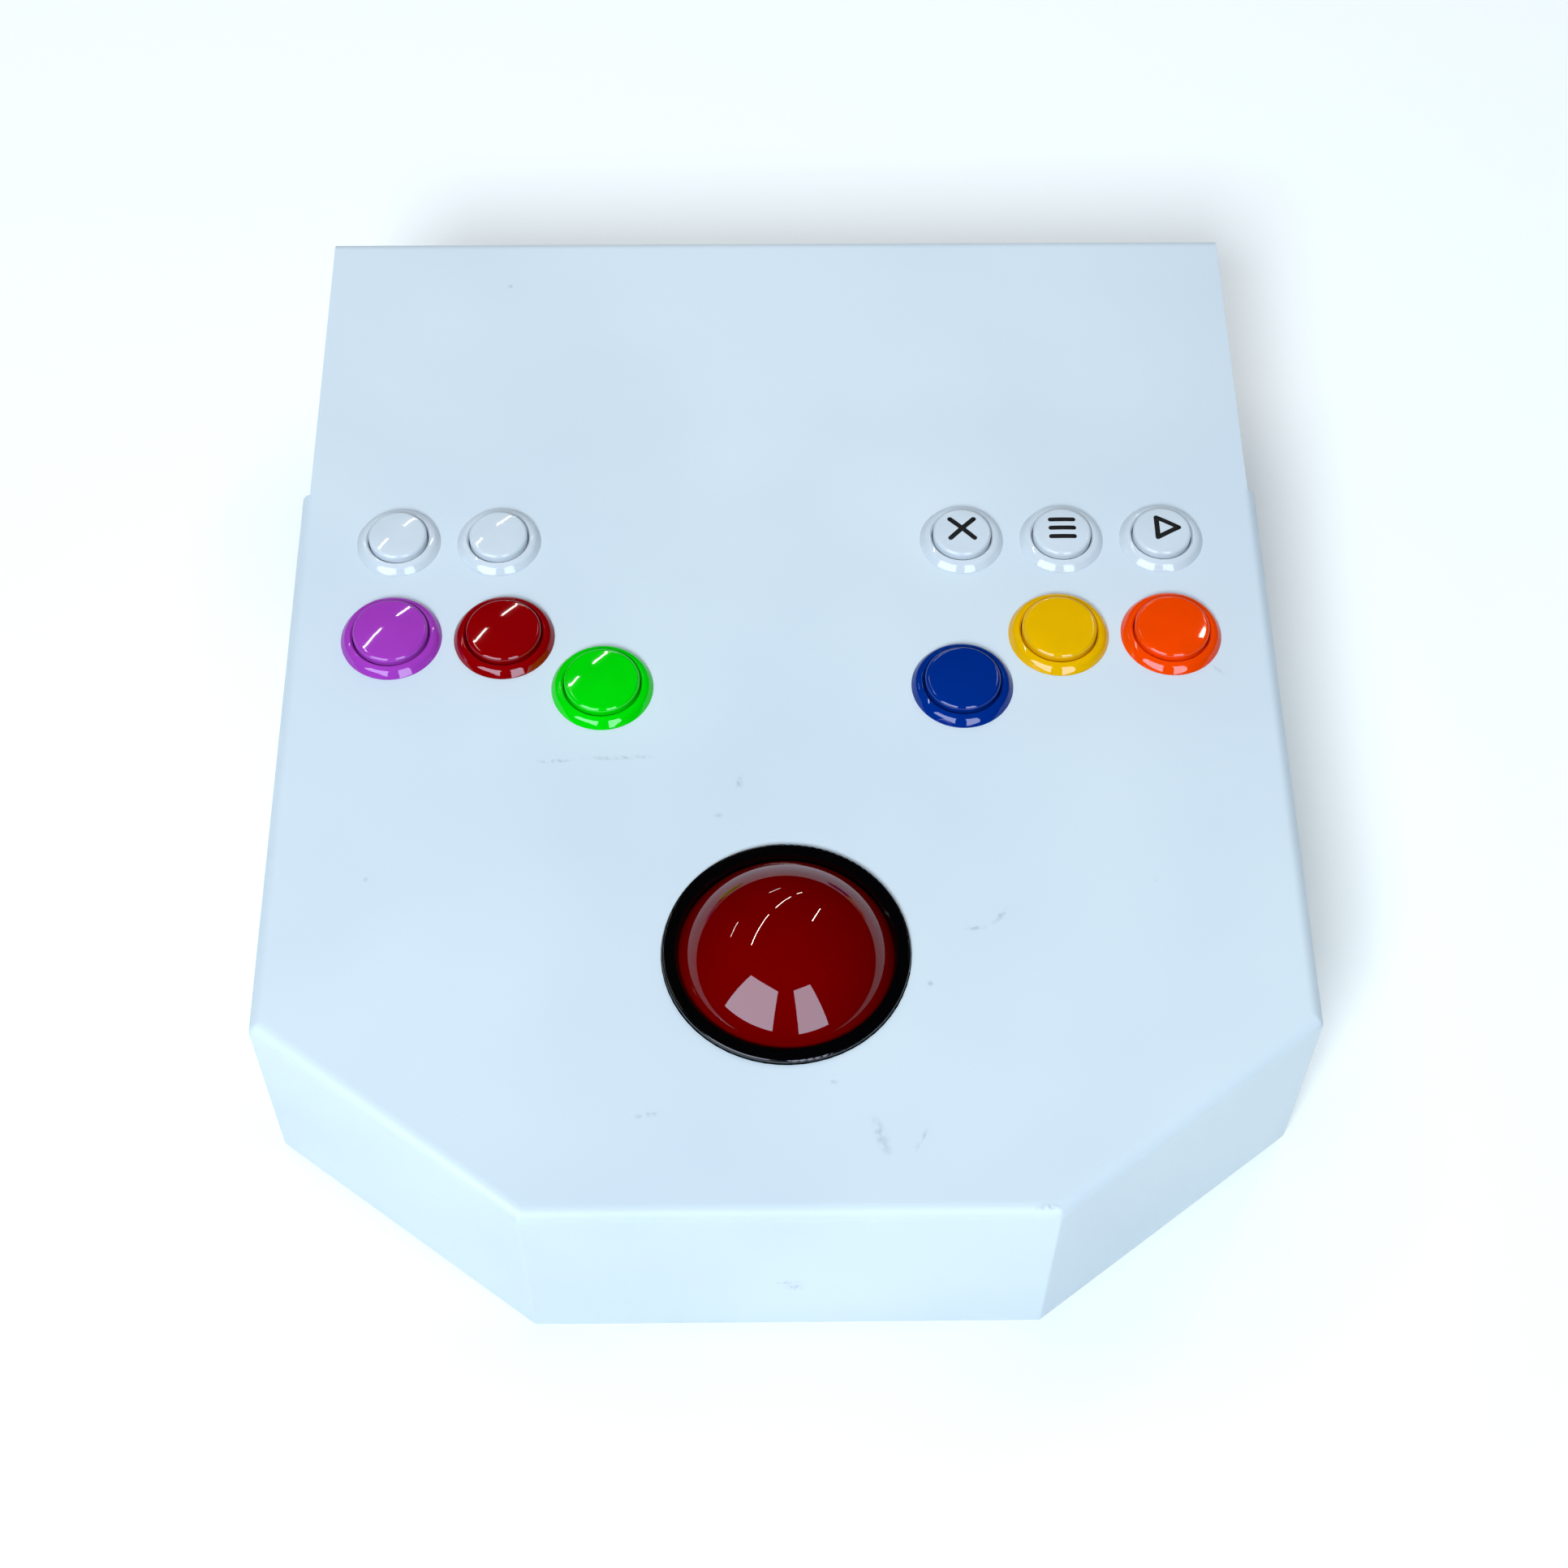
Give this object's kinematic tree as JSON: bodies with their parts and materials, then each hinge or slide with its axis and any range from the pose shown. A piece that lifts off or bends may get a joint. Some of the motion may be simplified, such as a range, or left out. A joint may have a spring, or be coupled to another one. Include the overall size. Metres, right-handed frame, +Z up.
{
  "type": "arcade control panel",
  "caption": "Folded white steel arcade control panel with coloured push buttons, small menu buttons and a red trackball in a black collar.",
  "frame": {"origin": "middle of the footprint, on the surface that the folded skirt stands on", "axes": "+Z up out of the deck, -Y towards the player, +Y towards the cabinet, +X to the player's right"},
  "size_m": [0.3334, 0.394, 0.1061],
  "materials": {
    "white_powder_coat": "satin powder coat",
    "purple_plastic": "glossy",
    "red_plastic": "glossy",
    "green_plastic": "glossy",
    "blue_plastic": "glossy",
    "yellow_plastic": "glossy",
    "orange_plastic": "glossy",
    "white_plastic": "glossy",
    "red_phenolic": "polished",
    "black_moulding": "satin",
    "switch_black": "matt",
    "nub_red": "matt",
    "terminal_brass": "bright",
    "ground_steel": "ground",
    "bearing_steel": "satin",
    "zinc_plate": "zinc plated",
    "wheel_black": "satin",
    "board_green": "solder resist",
    "header_white": "satin"
  },
  "bodies": {
    "panel": {"bearing_saddles": "black_moulding", "blue_button_body": "blue_plastic", "board_headers": "header_white", "board_ledges": "black_moulding", "close_button_body": "white_plastic", "front_back_encoder_board": "board_green", "green_button_body": "green_plastic", "housing_screws": "zinc_plate", "large_ring_nuts": "black_moulding", "large_switch_holders": "black_moulding", "left_inner_button_body": "white_plastic", "left_outer_button_body": "white_plastic", "left_right_encoder_board": "board_green", "light_gates": "switch_black", "menu_button_body": "white_plastic", "microswitches": "switch_black", "orange_button_body": "orange_plastic", "panel_shell": "white_powder_coat", "play_button_body": "white_plastic", "purple_button_body": "purple_plastic", "red_button_body": "red_plastic", "roller_bearings": "bearing_steel", "small_ring_nuts": "black_moulding", "small_switch_holders": "black_moulding", "stud_nuts": "zinc_plate", "stud_washers": "zinc_plate", "switch_terminals": "terminal_brass", "trackball_cover": "black_moulding", "trackball_tub": "black_moulding", "weld_studs": "zinc_plate", "yellow_button_body": "yellow_plastic"},
    "purple_button": {"purple_plunger": "purple_plastic", "purple_switch_nub": "nub_red"},
    "red_button": {"red_plunger": "red_plastic", "red_switch_nub": "nub_red"},
    "green_button": {"green_plunger": "green_plastic", "green_switch_nub": "nub_red"},
    "blue_button": {"blue_plunger": "blue_plastic", "blue_switch_nub": "nub_red"},
    "yellow_button": {"yellow_plunger": "yellow_plastic", "yellow_switch_nub": "nub_red"},
    "orange_button": {"orange_plunger": "orange_plastic", "orange_switch_nub": "nub_red"},
    "left_outer_button": {"left_outer_plunger": "white_plastic", "left_outer_switch_nub": "nub_red"},
    "left_inner_button": {"left_inner_plunger": "white_plastic", "left_inner_switch_nub": "nub_red"},
    "close_button": {"close_plunger": "white_plastic", "close_switch_nub": "nub_red"},
    "menu_button": {"menu_plunger": "white_plastic", "menu_switch_nub": "nub_red"},
    "play_button": {"play_plunger": "white_plastic", "play_switch_nub": "nub_red"},
    "ball": {"trackball_ball": "red_phenolic"},
    "left_right_shaft": {"left_right_roller": "ground_steel", "left_right_encoder_wheel": "wheel_black"},
    "front_back_shaft": {"front_back_roller": "ground_steel", "front_back_encoder_wheel": "wheel_black"},
    "idler_shaft": {"idler_roller": "ground_steel"}
  },
  "joints": [
    {"name": "purple_press", "type": "slide", "parent": "panel", "child": "purple_button", "axis": [0, 0, -1], "range_m": [0, 0.0022], "stiffness_N_per_m": 200, "springref_m": -0.003},
    {"name": "red_press", "type": "slide", "parent": "panel", "child": "red_button", "axis": [0, 0, -1], "range_m": [0, 0.0022], "stiffness_N_per_m": 200, "springref_m": -0.003},
    {"name": "green_press", "type": "slide", "parent": "panel", "child": "green_button", "axis": [0, 0, -1], "range_m": [0, 0.0022], "stiffness_N_per_m": 200, "springref_m": -0.003},
    {"name": "blue_press", "type": "slide", "parent": "panel", "child": "blue_button", "axis": [0, 0, -1], "range_m": [0, 0.0022], "stiffness_N_per_m": 200, "springref_m": -0.003},
    {"name": "yellow_press", "type": "slide", "parent": "panel", "child": "yellow_button", "axis": [0, 0, -1], "range_m": [0, 0.0022], "stiffness_N_per_m": 200, "springref_m": -0.003},
    {"name": "orange_press", "type": "slide", "parent": "panel", "child": "orange_button", "axis": [0, 0, -1], "range_m": [0, 0.0022], "stiffness_N_per_m": 200, "springref_m": -0.003},
    {"name": "left_outer_press", "type": "slide", "parent": "panel", "child": "left_outer_button", "axis": [0, 0, -1], "range_m": [0, 0.0022], "stiffness_N_per_m": 200, "springref_m": -0.003},
    {"name": "left_inner_press", "type": "slide", "parent": "panel", "child": "left_inner_button", "axis": [0, 0, -1], "range_m": [0, 0.0022], "stiffness_N_per_m": 200, "springref_m": -0.003},
    {"name": "close_press", "type": "slide", "parent": "panel", "child": "close_button", "axis": [0, 0, -1], "range_m": [0, 0.0022], "stiffness_N_per_m": 200, "springref_m": -0.003},
    {"name": "menu_press", "type": "slide", "parent": "panel", "child": "menu_button", "axis": [0, 0, -1], "range_m": [0, 0.0022], "stiffness_N_per_m": 200, "springref_m": -0.003},
    {"name": "play_press", "type": "slide", "parent": "panel", "child": "play_button", "axis": [0, 0, -1], "range_m": [0, 0.0022], "stiffness_N_per_m": 200, "springref_m": -0.003},
    {"name": "ball_roll", "type": "hinge", "parent": "panel", "child": "ball", "pos_m": [0, -0.1074, 0.068], "axis": [1, 0, 0], "continuous": true},
    {"name": "front_back_turn", "type": "hinge", "parent": "panel", "child": "front_back_shaft", "pos_m": [0, -0.07103, 0.04253], "axis": [1, 0, 0], "continuous": true},
    {"name": "left_right_turn", "type": "hinge", "parent": "panel", "child": "left_right_shaft", "pos_m": [-0.03637, -0.1074, 0.04253], "axis": [0, 1, 0], "continuous": true},
    {"name": "idler_turn", "type": "hinge", "parent": "panel", "child": "idler_shaft", "pos_m": [0.02572, -0.13312, 0.04253], "axis": [0.7071, 0.7071, 0], "continuous": true}
  ],
  "couplings": [
    {"joint": "front_back_turn", "follows": "ball_roll", "ratio": -6.35},
    {"joint": "idler_turn", "follows": "ball_roll", "ratio": -4.4901}
  ]
}
